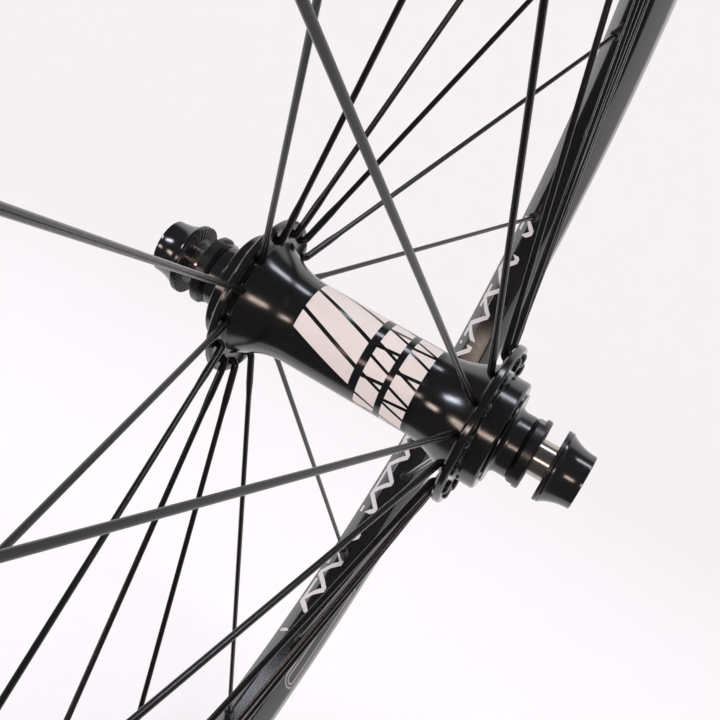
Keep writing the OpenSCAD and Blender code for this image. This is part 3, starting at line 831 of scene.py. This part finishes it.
class WHEEL_OT_rim(WheelStep, bpy.types.Operator):
    """Roll the double-wall rim and drill its nipple, access and valve holes"""
    bl_idname = "wheel.rim"
    bl_label = "Rim"

    def execute(self, context):
        sizes, colours = self.parts(context)
        bed, crest, wide = sizes.rim_bed / MM, sizes.rim_crest / MM, sizes.rim_half_width / MM
        half = [(bed, 0)] + arc((bed + 1.5, 3.5), 1.5, 180, 125, 6) + [
            (bed + 7, wide - 0.5), (bed + 10, wide), (crest - 0.6, wide), (crest - 0.15, wide - 0.15),
            (crest, wide - 0.5), (crest, wide - 1.5), (crest - 0.2, wide - 1.7),
            (crest - 0.8, wide - 1.85), (crest - 1.7, wide - 1.7), (bed + 11.2, wide - 1.4),
            (bed + 10.5, 6.2), (bed + 7.15, 4.7), (bed + 7, 4.2)]
        hollow = [(bed + 1.4, 4.09), (bed + 7.6, 7.5), (bed + 8.8, 8.0), (bed + 9.1, 7.8),
                  (bed + 9.1, 7.46), (bed + 5.6, 5.3)]
        wall = turned(mirrored(half), 288)
        inside = turned(mirrored(hollow), 288)
        bmesh.ops.reverse_faces(inside, faces=inside.faces)
        lean, _, _, _, end_r = spoke_line(sizes)
        start = (sizes.rim_bed - end_r) / math.cos(lean) / MM
        nipple_hole, key_hole = sizes.nipple_radius / MM + 0.12, sizes.nipple_head / MM + 0.3
        outline = [(0, start - 4), (nipple_hole, start - 4), (nipple_hole, start + 2.6),
                   (key_hole, start + 2.6), (key_hole, start + 13), (0, start + 13)]
        holes = []
        for _, side in SIDES:
            hole = turned(outline, 20, closed=False, axis=(0, 0, 1))
            in_line_with_spoke(hole, sizes)
            on_side(hole, side)
            round_the_axle(hole, spoke_angles(side, sizes.spokes_per_side))
            holes.append(hole)
        valve_r, under, over = sizes.valve_radius / MM, -crest - 5.8, 4 - bed
        holes.append(turned([(0, under), (valve_r, under), (valve_r, over), (0, over)], 40, closed=False,
                            axis=(0, 0, 1)))
        bm = cut_away(join(wall, inside), join(*holes))
        piece("rim_extrusion", bm, "wheel", rim_anodising(colours), "rim_black", "rim", smooth=26)
        return {"FINISHED"}


class WHEEL_OT_inner_parts(WheelStep, bpy.types.Operator):
    """Give the axle, the bearings and the rim's sleeve their metals and rubber"""
    bl_idname = "wheel.inner_parts"
    bl_label = "Axle and Bearings"

    def execute(self, context):
        finishes = {
            "axle": bare_metal("turned_aluminium", "#c4c4c6", "#aeb0b4", (0.26, 0.40), 0.15),
            "rim_joint": bare_metal("extruded_aluminium", "#b9babd", "#a3a5aa", (0.35, 0.50), 0.30),
            "bearing_cage": bare_metal("stamped_brass", "#b08d4c", "#8f6f36", (0.28, 0.42), 0.20),
            "bearing_balls": bare_metal("ground_chrome_steel", "#d2d2d4", "#c2c3c6", (0.05, 0.10), 0.10),
            "bearing_inner": bare_metal("ground_bearing_steel", "#c6c6c8", "#b4b5b9", (0.16, 0.26), 0.10),
            "bearing_seals": seal_rubber(),
        }
        finishes["bearing_outer"] = finishes["bearing_inner"]
        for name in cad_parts:
            for family, finish in finishes.items():
                if name.startswith(family):
                    for slot in bpy.data.objects[name].material_slots:
                        slot.material = finish
        return {"FINISHED"}


# ---------------------------------------------------------------- stage

def soft_light(name, place, size, power, tint):
    """A rectangular light that faces the wheel's centre, hidden from the camera."""
    data = bpy.data.lights.new(name, "AREA")
    data.shape, data.size, data.size_y = "RECTANGLE", size[0], size[1]
    data.energy, data.color = power, linear(tint)[:3]
    light = bpy.data.objects.new(name, data)
    back = Vector(place).normalized()
    steep = abs(back.z) > 0.7
    side = Vector((0, 1, 0)) if steep else Vector((0, 0, 1)).cross(back)
    side = (side - back * side.dot(back)).normalized()
    turn = Matrix((side, back.cross(side), back)).transposed().to_4x4()
    light.matrix_world = Matrix.Translation(place) @ turn
    light.visible_camera = False
    bpy.context.collection.objects.link(light)


class WHEEL_OT_stage(WheelStep, bpy.types.Operator):
    """Lay the pale floor, hang the soft lights and set the camera"""
    bl_idname = "wheel.stage"
    bl_label = "Stage"

    def execute(self, context):
        self.lay_floor(self.parts(context)[1])
        warm, cool = "#ffe6d8", "#eef2ff"
        soft_light("window_far_left", (0.75, -1.60, -0.36), (0.50, 0.22), 3.4, warm)
        soft_light("window_left", (1.33, -0.80, -0.34), (0.42, 0.22), 3.4, warm)
        soft_light("window_middle", (1.60, -0.12, -0.15), (0.40, 0.20), 2.4, warm)
        soft_light("window_right", (1.40, 0.86, -0.06), (0.62, 0.22), 3.6, warm)
        soft_light("overhead", (0.22, 0.22, 1.50), (1.30, 0.22), 7, cool)
        soft_light("high_left", (0.92, -1.12, 0.50), (0.50, 0.20), 5, cool)
        self.light_room(context.scene)
        self.set_camera(context.scene)
        context.scene.view_settings.view_transform = "Standard"
        return {"FINISHED"}

    def lay_floor(self, colours):
        """A round sheet of paper under the wheel, swept up into a wall at its edge."""
        ground, flat_r, bend_r, wall = cad_box[0][2], 1.6, 1.2, 2.6
        sweep = [(0, ground)] + arc((flat_r, ground + bend_r), bend_r, -90, 0, 16)
        sweep.append((flat_r + bend_r, ground + wall))
        bm = turned([(r / MM, z / MM) for r, z in sweep], 96, closed=False, axis=(0, 0, 1))
        bmesh.ops.reverse_faces(bm, faces=bm.faces)
        mesh = bpy.data.meshes.new("floor_sweep")
        bm.to_mesh(mesh)
        bm.free()
        mesh.polygons.foreach_set("use_smooth", [True] * len(mesh.polygons))
        paper, tree, shader, in_mm = start("seamless_paper")
        fibres = clouds(tree, in_mm, 2.0)
        tree.links.new(blend(tree, fibres, tuple(colours.paper), linear("#dddbdc")),
                       shader.inputs["Base Color"])
        shader.inputs["Roughness"].default_value = 0.9
        shader.inputs["Specular IOR Level"].default_value = 0.1
        shader.inputs["Emission Color"].default_value = linear("#fffcfd")
        shader.inputs["Emission Strength"].default_value = 0.22
        mesh.materials.append(paper)
        floor = bpy.data.objects.new("floor_sweep", mesh)
        floor.visible_glossy = False
        bpy.context.collection.objects.link(floor)

    def light_room(self, scene):
        """A white room that is dark in front of the wheel, where gloss reflects it."""
        world = bpy.data.worlds.new("studio")
        scene.world = world
        world.use_nodes = True
        tree = world.node_tree
        background = tree.nodes["Background"]
        rays = add(tree, "LightPath").outputs
        towards = add(tree, "TexCoord").outputs["Generated"]
        front = add(tree, "VectorMath", {0: towards, 1: (0.98965, 0.0, 0.14349)},
                    operation="DOT_PRODUCT").outputs["Value"]
        room = add(tree, "MapRange", {"Value": front, "From Min": -0.35, "From Max": -0.15,
                                      "To Min": 0.95, "To Max": 0.09}, interpolation_type="SMOOTHSTEP")
        level = add(tree, "Mix", {0: rays["Is Glossy Ray"], 2: 0.85, 3: room.outputs[0]},
                    data_type="FLOAT").outputs[0]
        level = add(tree, "Mix", {0: rays["Is Camera Ray"], 2: level, 3: 0.96},
                    data_type="FLOAT").outputs[0]
        tree.links.new(level, background.inputs["Strength"])
        background.inputs["Color"].default_value = linear("#fffdfd")

    def set_camera(self, scene):
        """A camera close in front of the hub; its near limit leaves out the rim beside the lens."""
        data = bpy.data.cameras.new("camera")
        data.lens, data.sensor_width, data.clip_start = 52.15, 36.0, 0.095
        camera = bpy.data.objects.new("camera", data)
        place = Vector((0.26364, 0.0561, 0.03823))
        ahead = Vector((-0.96698, -0.2102, -0.14445)).normalized()
        up = Vector((-0.25391, 0.8467, 0.46750)).cross(ahead).normalized()
        turn = Matrix((ahead.cross(up), up, -ahead)).transposed().to_4x4()
        camera.matrix_world = Matrix.Translation(place) @ turn
        bpy.context.collection.objects.link(camera)
        scene.camera = camera


# ---------------------------------------------------------------- panel and registration

STEPS = (WHEEL_OT_hub_body, WHEEL_OT_end_caps, WHEEL_OT_locknuts, WHEEL_OT_washers, WHEEL_OT_bolts,
         WHEEL_OT_spokes, WHEEL_OT_nipples, WHEEL_OT_rim, WHEEL_OT_inner_parts, WHEEL_OT_stage)


class WHEEL_PT_panel(bpy.types.Panel):
    """Lists the wheel's steps, sizes and colours."""
    bl_label = "Racing Front Wheel"
    bl_idname = "WHEEL_PT_panel"
    bl_space_type = "VIEW_3D"
    bl_region_type = "UI"
    bl_category = "Wheel"

    def draw(self, context):
        for step in STEPS:
            self.layout.operator(step.bl_idname)
        for group in (context.scene.wheel_sizes, context.scene.wheel_colours):
            box = self.layout.box()
            for name in group.__annotations__:
                box.prop(group, name)


def register():
    for cls in (WheelSizes, WheelColours) + STEPS + (WHEEL_PT_panel,):
        bpy.utils.register_class(cls)
    bpy.types.Scene.wheel_sizes = bpy.props.PointerProperty(type=WheelSizes)
    bpy.types.Scene.wheel_colours = bpy.props.PointerProperty(type=WheelColours)


def unregister():
    del bpy.types.Scene.wheel_colours
    del bpy.types.Scene.wheel_sizes
    for cls in reversed((WheelSizes, WheelColours) + STEPS + (WHEEL_PT_panel,)):
        bpy.utils.unregister_class(cls)


def main():
    register()
    bpy.ops.wheel.hub_body()
    bpy.ops.wheel.end_caps()
    bpy.ops.wheel.locknuts()
    bpy.ops.wheel.washers()
    bpy.ops.wheel.bolts()
    bpy.ops.wheel.spokes()
    bpy.ops.wheel.nipples()
    bpy.ops.wheel.rim()
    bpy.ops.wheel.inner_parts()
    bpy.ops.wheel.stage()


if __name__ == "__main__":
    main()
